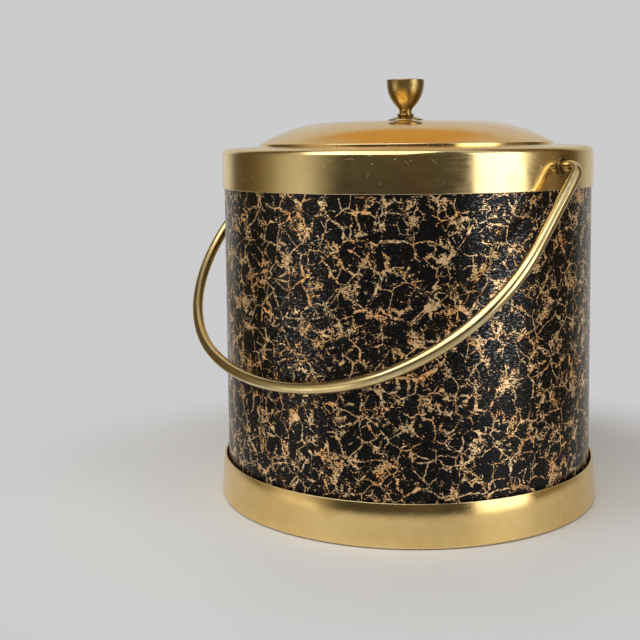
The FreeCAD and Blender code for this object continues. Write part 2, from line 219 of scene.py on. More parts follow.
def walk(start, heading, steps):
    """Points of a path in a plane, and the direction of travel at each, in radians.

    The walker starts at (a, b) and faces heading degrees, 0 being along a and 90 along b.
    A step is ("run", length), ("to_a", a), ("to_b", b), ("rows", length, count) or
    ("bend", radius, turn), left turns being positive. A straight step is p + s d with rows
    close to both its ends, which keep it flat between them, or with count even rows.
    A bend is centre - reach * left(angle), for angles even over the turn.
    """
    here, angle = np.array(start, float), math.radians(heading)
    points, angles = [here[None]], [np.array([angle])]
    for kind, value, *rest in steps:
        if kind == "bend":
            turn = math.radians(rest[0])
            reach = math.copysign(value, turn)
            count = math.ceil(max(3, abs(rest[0]) / ARC_STEP, abs(turn) * value / ARC_LENGTH))
            along = angle + turn * np.arange(1, count + 1) / count
            arc = here + reach * left(angle) - reach * left(along)
        else:
            way = ahead(angle)
            size = {"to_a": lambda: (value - here[0]) / way[0],
                    "to_b": lambda: (value - here[1]) / way[1]}.get(kind, lambda: value)()
            if kind == "rows":
                marks = size * np.arange(1, rest[0] + 1) / rest[0]
            else:
                near = min(SUPPORT, size / 4)
                marks = np.array([near, size - near, size])
            along = np.full(len(marks), angle)
            arc = here + marks[:, None] * way
        points.append(arc)
        angles.append(along)
        here, angle = arc[-1], along[-1]
    return np.concatenate(points), np.concatenate(angles)


def measure(points):
    """Distance walked to each point."""
    return np.concatenate([[0.0], np.cumsum(np.linalg.norm(np.diff(points, axis=0), axis=1))])


def sheet(start, heading, steps, thickness, to_axis=False):
    """Closed outline of a sheet, and the distance along its path of every outline point.

    Both faces are the path and the path moved by the thickness to its left, and each cut
    edge is a half circle between them, set back so that the sheet keeps its length.
    With to_axis the path ends on the axis, and the outline runs from the axis to the axis.
    """
    points, angles = walk(start, heading, steps)
    half = thickness / 2
    points[0] += half * ahead(angles[0])
    if not to_axis:
        points[-1] -= half * ahead(angles[-1])
    walked = measure(points)
    far = points + thickness * left(angles)
    turn = (np.pi * np.arange(1, EDGE_POINTS + 1) / (EDGE_POINTS + 1))[:, None]

    def edge(k, way):
        middle = points[k] + half * left(angles[k])
        return middle - half * (np.cos(turn) * left(angles[k]) - way * np.sin(turn) * ahead(angles[k]))

    first, last = edge(0, -1), edge(-1, 1)
    still = np.zeros(EDGE_POINTS)
    if to_axis:
        return (np.concatenate([points[::-1], first, far]),
                np.concatenate([walked[::-1], still, walked]))
    return (np.concatenate([points, last, far[::-1], first[::-1]]),
            np.concatenate([walked, still + walked[-1], walked[::-1], still]))


# ---- meshes -------------------------------------------------------------------------
def facing_out(outline, walked):
    """The outline in the order that leaves its inside on the left: its area is positive."""
    r, z = outline.T
    area = np.sum(r * np.roll(z, -1) - np.roll(r, -1) * z)
    return (outline, walked) if area > 0 else (outline[::-1], walked[::-1])


def quads(rows, columns, closed_rows, closed_columns):
    """Row and column of the four corners of every quad of a grid, anticlockwise."""
    i, j = np.meshgrid(np.arange(rows - 1 + closed_rows),
                       np.arange(columns - 1 + closed_columns), indexing="ij")
    i, j = i.ravel()[:, None], j.ravel()[:, None]
    return i + [0, 0, 1, 1], j + [0, 1, 1, 0]


def lathe(outline, segments):
    """x = r cos t, y = r sin t, z = z for each outline point and each t once round."""
    t = 2 * np.pi * np.arange(segments) / segments
    r, z = outline.T
    return np.stack([np.outer(r, np.cos(t)), np.outer(r, np.sin(t)),
                     np.outer(z, np.ones(segments))], -1)


def turned(outline, walked, segments, closed):
    """Points, faces and metric UVs of an outline turned once round the Z axis.

    An outline that isn't closed runs from the axis to the axis, and its first and last rows
    shrink to single points. u is the arc length at the outline's largest radius.
    """
    outline, walked = facing_out(outline, walked)
    i, j = quads(len(outline), segments, closed, True)
    reach = 2 * np.pi * outline[:, 0].max() / segments
    uv = np.stack([j * reach, walked[i % len(outline)]], -1)
    corners = (i % len(outline)) * segments + j % segments
    if not closed:
        corners[corners < segments] = 0
        last = (len(outline) - 1) * segments
        corners[corners > last] = last
    return lathe(outline, segments).reshape(-1, 3), corners, uv


def make_mesh(name, points, corners, uv):
    """A smooth-shaded mesh of quads. A quad with two corners at one point is a triangle."""
    used, corners = np.unique(corners, return_inverse=True)
    corners = corners.reshape(-1, 4)
    pairs = [corners[:, 0] == corners[:, 1], corners[:, 2] == corners[:, 3]]
    keeps = [np.array([0, 2, 3]), np.array([0, 1, 2])]
    full = ~(pairs[0] | pairs[1])
    corner_sets = [corners[full]] + [corners[p][:, k] for p, k in zip(pairs, keeps)]
    uv_sets = [uv[full]] + [uv[p][:, k] for p, k in zip(pairs, keeps)]
    loops = np.concatenate([c.ravel() for c in corner_sets])
    sizes = np.concatenate([np.full(len(c), c.shape[1]) for c in corner_sets])
    mesh = bpy.data.meshes.new(name)
    mesh.vertices.add(len(used))
    mesh.vertices.foreach_set("co", points[used].astype(np.float32).ravel())
    mesh.loops.add(len(loops))
    mesh.loops.foreach_set("vertex_index", loops.astype(np.int32))
    mesh.polygons.add(len(sizes))
    mesh.polygons.foreach_set("loop_start", (np.cumsum(sizes) - sizes).astype(np.int32))
    mesh.uv_layers.new(name="Metric")
    mesh.uv_layers["Metric"].data.foreach_set(
        "uv", np.concatenate([c.reshape(-1, 2) for c in uv_sets]).astype(np.float32).ravel())
    mesh.update(calc_edges=True)
    mesh.shade_smooth()
    mesh.set_sharp_from_angle(angle=SHARP_ANGLE)
    if mesh.validate():
        raise RuntimeError(name + " has faces that Blender had to mend")
    return mesh


def add_piece(name, shape, body, material, stands_for):
    """One finished piece at the origin, riding on its body in place of a CAD node."""
    mesh = make_mesh(name, *shape)
    mesh.materials.append(material)
    piece = bpy.data.objects.new(name, mesh)
    bpy.context.scene.collection.objects.link(piece)
    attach(piece, body)
    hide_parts(stands_for)


def finish_nodes(material, *nodes):
    """CAD nodes keep their shapes and get a better material."""
    for node in nodes:
        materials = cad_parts[node].data.materials
        materials.clear()
        materials.append(material)


# ---- wiring -------------------------------------------------------------------------
class Wiring:
    """Puts nodes into one tree and joins them up."""

    def __init__(self, tree):
        self.tree = tree

    def join(self, socket, value):
        """Links a socket to the value, or sets it where the value is a plain one."""
        if isinstance(value, bpy.types.NodeSocket):
            self.tree.links.new(value, socket)
        elif socket.type == "RGBA" and not isinstance(value, (int, float)):
            socket.default_value = (*value[:3], 1.0)
        else:
            socket.default_value = value

    def put(self, kind, settings=None, **inputs):
        """A node; inputs are named as its sockets, with _ for a space, or v0, v1, ... by place."""
        node = self.tree.nodes.new("ShaderNode" + kind)
        for name, value in (settings or {}).items():
            setattr(node, name, value)
        for name, value in inputs.items():
            by_place = name[0] == "v" and name[1:].isdigit()
            self.join(node.inputs[int(name[1:]) if by_place else name.replace("_", " ")], value)
        return node

    def calc(self, operation, *values):
        places = {"v%d" % k: value for k, value in enumerate(values)}
        return self.put("Math", {"operation": operation}, **places).outputs[0]

    def times(self, first, *more):
        for value in more:
            first = self.calc("MULTIPLY", first, value)
        return first

    def total(self, start, *parts):
        """start plus value * share for every (value, share)."""
        for value, part in parts:
            start = self.calc("MULTIPLY_ADD", value, part, start)
        return start

    def vector(self, operation, *values):
        places = {"v%d" % k: value for k, value in enumerate(values)}
        node = self.put("VectorMath", {"operation": operation}, **places)
        return node.outputs[1 if operation == "LENGTH" else 0]

    def scaled(self, vector, x, y, z=1.0):
        return self.vector("MULTIPLY", vector, (x, y, z))

    def noise(self, vector, scale, detail=2.0, rough=0.5, out="Fac"):
        node = self.put("TexNoise", Vector=vector, Scale=scale, Detail=detail, Roughness=rough)
        return node.outputs[out]

    def cells(self, vector, scale, feature="F1", out="Distance", flat=False):
        settings = {"voronoi_dimensions": "2D" if flat else "3D", "feature": feature}
        return self.put("TexVoronoi", settings, Vector=vector, Scale=scale).outputs[out]

    def fade(self, value, at_low, at_high, low_value=0.0, high_value=1.0):
        """Smooth step from low_value where value is at_low to high_value at at_high."""
        return self.put("MapRange", {"interpolation_type": "SMOOTHSTEP"}, v0=value, v1=at_low,
                        v2=at_high, v3=low_value, v4=high_value).outputs[0]

    def spread(self, value, low_value, high_value):
        """A 0 to 1 value stretched over a range."""
        return self.put("MapRange", None, v0=value, v1=0.0, v2=1.0, v3=low_value,
                        v4=high_value).outputs[0]

    def mix(self, factor, a, b):
        return self.put("Mix", {"data_type": "RGBA"}, v0=factor, v6=a, v7=b).outputs[2]

    def coats(self, base, *layers):
        """The base colour under each (mask, share, colour) in turn."""
        for mask, part, tint in layers:
            base = self.mix(self.times(mask, part), base, tint)
        return base

    def turned(self, vector, angle):
        return self.put("VectorRotate", {"rotation_type": "Z_AXIS"}, Vector=vector,
                        Angle=angle).outputs[0]

    def warp(self, vector, scale, reach):
        """The vector pushed about by noise of that scale, by up to about half of reach."""
        push = self.vector("SUBTRACT", self.noise(vector, scale, 1.0, out="Color"), (0.5, 0.5, 0.5))
        pushed = self.put("VectorMath", {"operation": "SCALE"}, v0=push, v3=reach).outputs[0]
        return self.vector("ADD", vector, pushed)

    def use(self, effect, **inputs):
        """A shared effect's outputs, with its inputs joined or set."""
        node = self.tree.nodes.new("ShaderNodeGroup")
        node.node_tree = EFFECTS[effect]()
        for name, value in inputs.items():
            self.join(node.inputs[name], value)
        return node.outputs

    def bump(self, height, distance, **normal):
        """A normal that makes height, times distance in metres, look like relief."""
        return self.put("Bump", None, Height=height, Distance=distance, **normal).outputs["Normal"]


# ---- shared effects -----------------------------------------------------------------
EFFECTS = {}


def effect(name, inputs, outputs):
    """Keeps a function that wires a node group, and builds the group on its first use."""
    def keep(wire):
        def build():
            if name in bpy.data.node_groups:
                return bpy.data.node_groups[name]
            tree = bpy.data.node_groups.new(name, "ShaderNodeTree")
            for label, default in inputs.items():
                kind = "NodeSocketVector" if default is None else "NodeSocketFloat"
                socket = tree.interface.new_socket(label, in_out="INPUT", socket_type=kind)
                if default is not None:
                    socket.default_value = default
            for label in outputs:
                tree.interface.new_socket(label, in_out="OUTPUT", socket_type="NodeSocketFloat")
            given = tree.nodes.new("NodeGroupInput").outputs
            results = wire(Wiring(tree), given)
            out = tree.nodes.new("NodeGroupOutput")
            for label, socket in zip(outputs, results):
                tree.links.new(socket, out.inputs[label])
            return tree
        EFFECTS[name] = build
        return wire
    return keep


@effect("Brush Lines", {"Vector": None, "Pitch": 0.2 * MM}, ("Height", "Streak"))
def brush_lines(w, given):
    """Marks that run along u: noise squeezed across v, fine lines over broad streaks."""
    scale = w.calc("DIVIDE", 1.0, given["Pitch"])
    fine = w.noise(w.scaled(given["Vector"], 0.012, 1.0), scale, 3.0, 0.65)
    broad = w.noise(w.scaled(given["Vector"], 0.02, 0.16), scale, 2.0, 0.5)
    return fine, w.total(0.0, (fine, 0.45), (broad, 0.55))


@effect("Scratches", {"Vector": None, "Spacing": 20.0 * MM, "Width": 0.1 * MM, "Amount": 0.5},
        ("Mask",))
def scratches(w, given):
    """Hairlines on a flat layout: edges of large cells, shown where a cloud lets them through.

    There are two webs, each with its turn in radians and its cloud's scale.
    """
    scale = w.calc("DIVIDE", 1.0, given["Spacing"])
    bent = w.warp(given["Vector"], 35.0, 6.0 * MM)
    width = w.times(given["Width"], scale)
    level = w.total(0.78, (given["Amount"], -0.4))
    masks = []
    for turn, cloud_scale in ((0.6, 90.0), (2.1, 140.0)):
        way = w.turned(bent, turn)
        distance = w.cells(way, scale, "DISTANCE_TO_EDGE", flat=True)
        line = w.fade(w.calc("DIVIDE", distance, width), 1.0, 0.3)
        over = w.calc("SUBTRACT", w.noise(way, cloud_scale, 1.0), level)
        masks.append(w.times(line, w.fade(over, 0.0, 0.05)))
    return w.calc("MAXIMUM", *masks),


@effect("Specks", {"Vector": None, "Size": 0.6 * MM, "Amount": 0.3}, ("Mask",))
def specks(w, given):
    """Small round spots of uneven size: the middles of a few of many cells."""
    scale = w.calc("DIVIDE", 0.25, given["Size"])
    distance = w.cells(given["Vector"], scale)
    chance = w.put("SeparateColor", None, v0=w.cells(given["Vector"], scale, out="Color"))
    spot = w.fade(w.total(distance, (chance.outputs[1], -0.16)), 0.04, 0.0)
    return w.times(spot, w.calc("LESS_THAN", chance.outputs[0], given["Amount"])),


@effect("Smudges", {"Vector": None, "Size": 25.0 * MM}, ("Cloud", "Fine"))
def smudges(w, given):
    """Uneven handling marks: one warped cloud and a finer one over it."""
    scale = w.calc("DIVIDE", 1.0, given["Size"])
    bent = w.warp(given["Vector"], scale, 18.0 * MM)
    cloud = w.fade(w.noise(bent, scale, 4.0, 0.6), 0.36, 0.66)
    return cloud, w.noise(bent, w.times(scale, 9.0), 5.0, 0.65)


@effect("Edge Wear", {"Distance": 0.0, "Width": 0.8 * MM, "Vector": None, "Amount": 0.5},
        ("Mask",))
def edge_wear(w, given):
    """A broken line of wear that fades with the distance from an edge."""
    near = w.fade(w.calc("DIVIDE", given["Distance"], given["Width"]), 1.0, 0.0)
    broken = w.noise(given["Vector"], 420.0, 4.0, 0.7)
    level = w.total(0.75, (given["Amount"], -0.5))
    return w.fade(w.times(near, w.calc("ADD", broken, 0.35)), level, 1.0),


@effect("Patina", {"Vector": None, "Size": 5.0 * MM, "Amount": 0.5}, ("Mask", "Tone"))
def patina(w, given):
    """Mottled patina: clouds broken by finer blotches, and a slow change of tone."""
    scale = w.calc("DIVIDE", 1.0, given["Size"])
    bent = w.warp(given["Vector"], scale, 4.0 * MM)
    cloud = w.noise(bent, scale, 5.0, 0.62)
    blotch = w.noise(bent, w.times(scale, 4.0), 4.0, 0.6)
    over = w.total(-0.78, (cloud, 0.7), (blotch, 0.3), (given["Amount"], 0.5))
    return w.fade(over, -0.10, 0.12), w.noise(bent, w.times(scale, 0.4))


# ---- materials ----------------------------------------------------------------------
def finish(name, **settings):
    """A material, its wiring and its shader. settings are the shader's plain numbers."""
    material = bpy.data.materials.new(name)
    material.use_nodes = True
    shader = material.node_tree.nodes["Principled BSDF"]
    for label, value in settings.items():
        shader.inputs[label.replace("_", " ")].default_value = value
    return material, Wiring(material.node_tree), shader


def feed(w, shader, **sockets):
    for label, socket in sockets.items():
        w.tree.links.new(socket, shader.inputs[label.replace("_", " ")])


def shade(tint, red, green=None, blue=None):
    """A colour with each part multiplied, up to 1; one factor alone serves all three."""
    factors = (red, green or red, blue or red)
    return [min(1.0, c * f) for c, f in zip(tint, factors)]


def object_place(w):
    return w.put("TexCoord").outputs["Object"]


def surface_place(w):
    """The piece's metric UV: u along the turn or the rod, v along the outline or round the rod."""
    return w.put("UVMap", {"uv_map": "Metric"}).outputs["UV"]


def speckled(w, place, size, amount):
    return w.use("Specks", Vector=place, Size=size, Amount=amount)["Mask"]


def scratched(w, place, spacing, width, amount):
    return w.use("Scratches", Vector=place, Spacing=spacing, Width=width, Amount=amount)["Mask"]


def crackle_mask(w, place, cell, vein):
    """Where the metallic print lies: 0 to 1.

    Four webs of cell edges, each finer than the last, are pushed out of true. A point is
    printed where its distance to an edge is less than the web's half width there. Slow
    noise sets the half widths: below zero a web is missing, and high peaks leave knots.
    The finest web only shows close to the first two, as lace. Quick noise, drawn out
    along the grain, makes the edges ragged.
    """
    size = 1.0 / cell
    pushed = place
    for scale, reach in ((1.3, 0.35), (5.0, 0.12), (16.0, 0.05)):
        pushed = w.warp(pushed, size * scale, cell * reach)

    def cloud(k, scale):
        """Slow noise of its own for every k."""
        moved = w.vector("ADD", place, (0.31 * k, 0.17 * k, 0.0))
        return w.noise(moved, size * scale, 3.0, 0.6)

    def to_edge(k, scale):
        """Distance in metres to a web's edges, a web of its own for every k."""
        moved = w.vector("ADD", pushed, (0.137 * k, 0.071 * k, 0.0))
        distance = w.cells(moved, size * scale, "DISTANCE_TO_EDGE")
        return w.calc("DIVIDE", distance, size * scale)

    def half_width(k, scale, over, widths, knot_scale, knots_over, knot):
        """Vein widths from the first to the second as cloud k rises over a range, and knots."""
        thin = w.fade(cloud(k, scale), *over, *[vein * width for width in widths])
        thick = w.fade(cloud(k + 5, knot_scale), *knots_over, 0.0, knot * vein)
        return w.calc("ADD", thin, thick)

    first, second, third, lace = [
        to_edge(k, scale) for k, scale in ((1, 1.0), (2, 1.7), (6.6, 3.2), (3.7, 6.5))]
    near = w.fade(w.calc("MINIMUM", first, second), 0.105 * cell, 0.03 * cell)
    clump = w.fade(cloud(11, 1.15), 0.44, 0.66)
    webs = (
        (first, half_width(1, 1.4, (0.42, 0.50), (-0.3, 0.60),
                           knot_scale=1.5, knots_over=(0.55, 0.74), knot=3.2)),
        (second, half_width(2, 1.2, (0.50, 0.58), (-0.4, 0.50),
                            knot_scale=1.9, knots_over=(0.57, 0.76), knot=2.6)),
        (third, w.calc("ADD", w.fade(cloud(3, 1.1), 0.50, 0.64, -0.7 * vein, 0.65 * vein),
                       w.spread(clump, -0.4 * vein, 0.25 * vein))),
        (lace, w.spread(w.times(near, clump), -0.55 * vein, 0.95 * vein)))
    inside = None
    for distance, width in webs:
        depth = w.calc("SUBTRACT", width, distance)
        inside = depth if inside is None else w.calc("MAXIMUM", inside, depth)
    ragged = w.noise(w.scaled(place, 0.55, 1.0), size * 22.0, 3.0, 0.65)
    pits = w.spread(ragged, -1.9 * vein, 2.2 * vein)
    return w.fade(w.calc("SUBTRACT", inside, pits), -0.12 * vein, 0.12 * vein)


SCUFF, LINT = (0.42, 0.38, 0.30), (0.35, 0.34, 0.31)
ZINC, DULL_ZINC = ((0.52, 0.53, 0.55), (0.66, 0.67, 0.69)), (0.36, 0.35, 0.34)
RUST = (0.16, 0.10, 0.06)
BAND_ROUGH, LID_ROUGH = 0.11, 0.09
# The crackle's copper below the INK_CREST heights is painted shade in the crinkle's dips.
INK_HOLDS = (0.36, 0.47)                 # crinkle heights between which the ink takes hold
INK_CREST = (0.44, 0.56)                 # and between which it turns from copper to gold
VINYL_CREST = (0.565, 0.66)              # and between which the vinyl turns glossy
RUBBED_DULL = (30.0 * MM, 85.0 * MM)     # height below which handling has dulled the vinyl


def leathercloth(look):
    """Black vinyl with a fine crinkle that runs round the body, printed with gold crackle.

    The print is metallic ink, partly matt. It breaks where the crinkle dips, and only the
    crinkle's ridges between the veins have the gloss of a coat. The ink's darker copper is
    painted shade in the crinkle's dips, made uneven by a random tone.
    """
    material, w, shader = finish("Leathercloth", IOR=1.45, Specular_IOR_Level=0.15,
                                 Coat_Roughness=0.13, Coat_IOR=2.0)
    place = surface_place(w)
    size = 1.0 / look.pebble
    bent = w.warp(place, size * 0.45, look.pebble * 0.8)
    long_way = w.scaled(bent, 0.55, 1.25)
    pebble = w.cells(long_way, size, "SMOOTH_F1")
    crease = w.cells(w.vector("ADD", long_way, (0.3, 0.1, 0.0)), size * 0.6, "DISTANCE_TO_EDGE")
    ridge = w.noise(w.scaled(bent, 0.42, 1.35), size * 1.35, 2.0, 0.55)
    height = w.total(w.fade(crease, 0.0, 0.12, -0.35, 0.0), (ridge, 1.6), (pebble, -1.0))
    printed = w.times(crackle_mask(w, place, look.cell, look.vein),
                      w.fade(ridge, *INK_HOLDS, 0.12, 1.0))
    tone = w.noise(place, 70.0, 3.0, 0.6)
    # Painted shade: the foil goes from the print's gold to a darker copper in the crinkle's dips,
    # uneven by a random tone.
    crest = w.times(w.fade(ridge, *INK_CREST), w.fade(tone, 0.66, 0.44))
    foil = w.mix(crest, look.painted_copper_shade, look.print_colour)
    ground = w.mix(w.noise(place, 220.0, 2.0), look.ground, shade(look.ground, 2.2))
    rough = w.spread(w.noise(place, 160.0, 3.0), look.gloss - 0.07, look.gloss + 0.09)
    rise = w.put("SeparateXYZ", None, Vector=place).outputs["Y"]
    glossy = w.times(w.fade(ridge, *VINYL_CREST), w.fade(rise, *RUBBED_DULL, 0.15, 1.0),
                     w.calc("SUBTRACT", 1.0, printed))
    feed(w, shader, Base_Color=w.mix(printed, ground, foil),
         Metallic=w.times(printed, w.spread(crest, 0.26, 0.66)),
         Roughness=w.mix(printed, rough, w.spread(crest, 0.34, 0.20)),
         Coat_Weight=glossy, Normal=w.bump(height, 0.11 * MM))
    return material


def spun_metal(name, look, tint, rough, edges, smooth=1.0):
    """Anodised sheet with marks that run round it, hairlines, specks, smudges and worn edges.

    edges are the distances along the outline, v, where the sheet is cut or folded.
    """
    material, w, shader = finish(name, Metallic=1.0, Anisotropic=0.35)
    place, surface = object_place(w), surface_place(w)
    lines = w.use("Brush Lines", Vector=surface, Pitch=look.brushing)
    hair = scratched(w, surface, 30.0 * MM, 0.14 * MM, look.wear)
    spots = speckled(w, place, 0.55 * MM, 0.22 * look.wear)
    dust = speckled(w, surface, 0.42 * MM, 0.30 * look.wear)
    cloud = w.use("Smudges", Vector=place, Size=26.0 * MM)["Cloud"]
    v = w.put("SeparateXYZ", None, Vector=surface).outputs["Y"]
    worn = None
    for edge in edges:
        distance = w.calc("ABSOLUTE", w.calc("SUBTRACT", v, edge))
        mask = w.use("Edge Wear", Distance=distance, Width=1.1 * MM, Vector=place,
                     Amount=look.wear)["Mask"]
        worn = mask if worn is None else w.calc("MAXIMUM", worn, mask)
    deep, pale = shade(tint, 0.80, 0.70, 0.52), shade(tint, 1.04, 1.14, 1.65)
    base = w.coats(tint, (cloud, 0.45, deep), (lines["Streak"], 0.32, deep), (worn, 0.7, pale),
                   (hair, 0.6, pale), (spots, 0.55, look.patina), (dust, 0.5, pale))
    rougher = w.total(rough - 0.08, (lines["Streak"], 0.16), (cloud, 0.10), (worn, 0.18),
                      (hair, 0.2), (spots, 0.2), (dust, 0.35))
    relief = w.total(lines["Height"], (hair, -1.5), (spots, -1.5))
    brushed = w.bump(relief, 0.0032 * MM * smooth)
    waves = w.noise(w.scaled(surface, 1.0, 1.6), 28.0, 1.0)
    feed(w, shader, Base_Color=base, Roughness=rougher,
         Normal=w.bump(waves, 0.06 * MM, Normal=brushed))
    return material


def old_brass(name, look, tint, rough, size, amount, polish):
    """Solid brass: mottled patina over bright metal, with specks and fine pits."""
    material, w, shader = finish(name, Metallic=1.0)
    place = object_place(w)
    old = w.use("Patina", Vector=place, Size=size, Amount=amount)
    spots = speckled(w, place, 0.3 * MM, 0.35 * look.wear)
    base = w.mix(w.fade(old["Tone"], 0.35, 0.65), tint, shade(tint, 0.86, 0.72, 0.55))
    base = w.coats(base, (old["Mask"], 1.0 - polish, look.patina), (spots, 0.7, look.patina))
    rougher = w.total(rough, (old["Mask"], 0.30 * (1.0 - polish)), (spots, 0.2))
    relief = w.total(0.0, (w.noise(place, 1400.0, 3.0, 0.6), 0.5), (spots, -1.0))
    feed(w, shader, Base_Color=base, Roughness=rougher,
         Normal=w.bump(relief, 0.02 * MM * (1.2 - polish)))
    return material


def drawn_brass(look):
    """The bail's rod: polished lengthways, tarnished in patches, with hairlines and specks."""
    material, w, shader = finish("Drawn Brass", Metallic=1.0)
    place, surface = object_place(w), surface_place(w)
    lines = w.use("Brush Lines", Vector=surface, Pitch=0.35 * MM)
    old = w.use("Patina", Vector=place, Size=22.0 * MM, Amount=0.62)["Mask"]
    hair = scratched(w, surface, 16.0 * MM, 0.12 * MM, look.wear)
    spots = speckled(w, place, 0.4 * MM, 0.3 * look.wear)
    dull = shade(look.bail, 0.72, 0.62, 0.48)
    base = w.coats(look.bail, (old, 0.6, dull), (lines["Streak"], 0.25, dull),
                   (spots, 0.6, look.patina))
    rough = w.total(w.spread(lines["Streak"], 0.06, 0.16), (old, 0.12), (hair, 0.2), (spots, 0.2))
    relief = w.total(lines["Height"], (hair, -1.5), (spots, -1.5))
    feed(w, shader, Base_Color=base, Roughness=rough, Normal=w.bump(relief, 0.003 * MM))
    return material


def moulded_plastic(look):
    """Cream plastic with a soft gloss, flow marks, scuffs from ice and a little yellowing."""
    material, w, shader = finish("Moulded Plastic", IOR=1.49)
    place = object_place(w)
    hair = scratched(w, surface_place(w), 14.0 * MM, 0.12 * MM, 0.75)
    marks = w.use("Smudges", Vector=place, Size=38.0 * MM)
    base = w.coats(look.plastic, (marks["Cloud"], 0.55, shade(look.plastic, 0.95, 0.88, 0.70)),
                   (hair, 0.35, SCUFF))
    rough = w.total(w.spread(marks["Fine"], 0.20, 0.40), (hair, 0.25))
    relief = w.calc("SUBTRACT", w.noise(place, 700.0, 3.0), hair)
    feed(w, shader, Base_Color=base, Roughness=rough, Normal=w.bump(relief, 0.012 * MM))
    return material


def felt(look):
    """Pressed felt: tangled short fibres and lint."""
    material, w, shader = finish("Felt", Sheen_Weight=0.6, Sheen_Roughness=0.5)
    place = object_place(w)
    fibre = w.noise(w.warp(place, 900.0, 1.5 * MM), 1600.0, 4.0, 0.7)
    other = w.noise(w.warp(w.scaled(place, 1.0, 0.4), 500.0, 2.0 * MM), 1100.0, 3.0, 0.7)
    base = w.mix(w.fade(fibre, 0.4, 0.7), look.felt, shade(look.felt, 3.2))
    base = w.coats(base, (speckled(w, place, 0.5 * MM, 0.10), 0.5, LINT))
    feed(w, shader, Base_Color=base, Roughness=w.spread(fibre, 0.82, 1.0),
         Normal=w.bump(w.calc("ADD", fibre, other), 0.25 * MM))
    return material


def fibreboard(look):
    """Pressed board: short fibres, darker flecks and a waxed, slightly uneven face."""
    material, w, shader = finish("Fibreboard", IOR=1.45)
    place = object_place(w)
    fibre = w.noise(w.warp(w.scaled(place, 1.0, 1.0, 0.35), 300.0, 2.0 * MM), 900.0, 4.0, 0.7)
    dark = shade(look.board, 0.45)
    base = w.mix(w.fade(fibre, 0.35, 0.7), dark, shade(look.board, 1.5))
    base = w.coats(base, (speckled(w, place, 0.7 * MM, 0.3), 0.6, dark))
    feed(w, shader, Base_Color=base, Roughness=w.spread(fibre, 0.65, 0.9),
         Normal=w.bump(fibre, 0.08 * MM))
    return material


def bead_foam(look):
    """Expanded foam: round beads pressed together, with dark lines between them."""
    material, w, shader = finish("Bead Foam", Subsurface_Weight=0.1)
    place = object_place(w)
    seam = w.cells(place, 380.0, "DISTANCE_TO_EDGE")
    bead = w.cells(place, 380.0)
    base = w.mix(w.fade(seam, 0.0, 0.09), shade(look.foam, 0.62), look.foam)
    feed(w, shader, Base_Color=base, Roughness=w.spread(w.noise(place, 600.0), 0.45, 0.7),
         Normal=w.bump(w.times(bead, -1.0), 0.5 * MM))
    return material


def zinc_steel(look):
    """Zinc-plated steel: faint spangle, dull patches and handling specks."""
    material, w, shader = finish("Zinc Steel", Metallic=1.0)
    place = object_place(w)
    spangle = w.put("SeparateColor", None, v0=w.cells(place, 900.0, out="Color")).outputs[0]
    dull = w.use("Patina", Vector=place, Size=4.0 * MM, Amount=0.35)["Mask"]
    spots = speckled(w, place, 0.25 * MM, 0.3 * look.wear)
    base = w.coats(w.mix(spangle, *ZINC), (dull, 0.7, DULL_ZINC), (spots, 0.7, RUST))
    feed(w, shader, Base_Color=base,
         Roughness=w.total(w.spread(spangle, 0.24, 0.36), (dull, 0.3)),
         Normal=w.bump(w.noise(place, 1500.0, 3.0), 0.02 * MM))
    return material


# ---- shapes of the body -------------------------------------------------------------
def wrap_shape(segments=AROUND_BODY):
    """The cloth's section, a thin upright strip with rounded edges, carried round from one
    side of the seam at +Y to the other: x = -r sin t, y = r cos t, for t from the seam's
    half angle to a full turn less it. A fan from the section's middle closes each end."""
    outline, walked = sheet((WRAP_R, WRAP_BOTTOM), 90.0, [("to_b", WRAP_TOP)], WRAP_T)
    outline, walked = facing_out(outline, walked)
    rows = len(outline)
    half = WRAP_SEAM / 2 / WRAP_R
    t = np.linspace(half, 2 * np.pi - half, segments + 1)
    r, z = outline.T
    grid = np.stack([-np.outer(r, np.sin(t)), np.outer(r, np.cos(t)),
                     np.outer(z, np.ones(segments + 1))], -1)
    i, j = quads(rows, segments + 1, True, False)
    corners = (i % rows) * (segments + 1) + j
    uv = np.stack([j * 2 * np.pi * WRAP_R / segments, walked[i % rows]], -1)
    points = [grid.reshape(-1, 3)]
    loop = np.arange(rows)
    after = np.roll(loop, -1)
    for column, order in ((0, (loop, after)), (segments, (after, loop))):
        points.append(grid[:, column].mean(0)[None])
        middle = np.full(rows, rows * (segments + 1) + (column > 0))
        fan = np.stack([middle, middle] + [k * (segments + 1) + column for k in order], -1)
        corners = np.concatenate([corners, fan])
        uv = np.concatenate([uv, np.zeros((rows, 4, 2))])
    return np.concatenate(points), corners, uv


def rim_outline():
    """Plain wall, round shoulder, and a ledge that climbs to a lip turned down at the mouth."""
    spread = HOLE_ROWS * HOLE_PITCH
    return sheet(
        (RIM_R, RIM_BOTTOM), 90.0,
        [("to_b", PIVOT_Z - spread),
         ("rows", 2 * spread, 2 * HOLE_ROWS),
         ("to_b", RIM_SHOULDER_Z),
         ("bend", RIM_SHOULDER_R, 90.0 - RIM_LEDGE_RISE),
         ("to_a", RIM_LEDGE_R),
         ("bend", RIM_LIP_R, 90.0 + RIM_LEDGE_RISE),
         ("to_b", RIM_LIP_Z)], RIM_T)


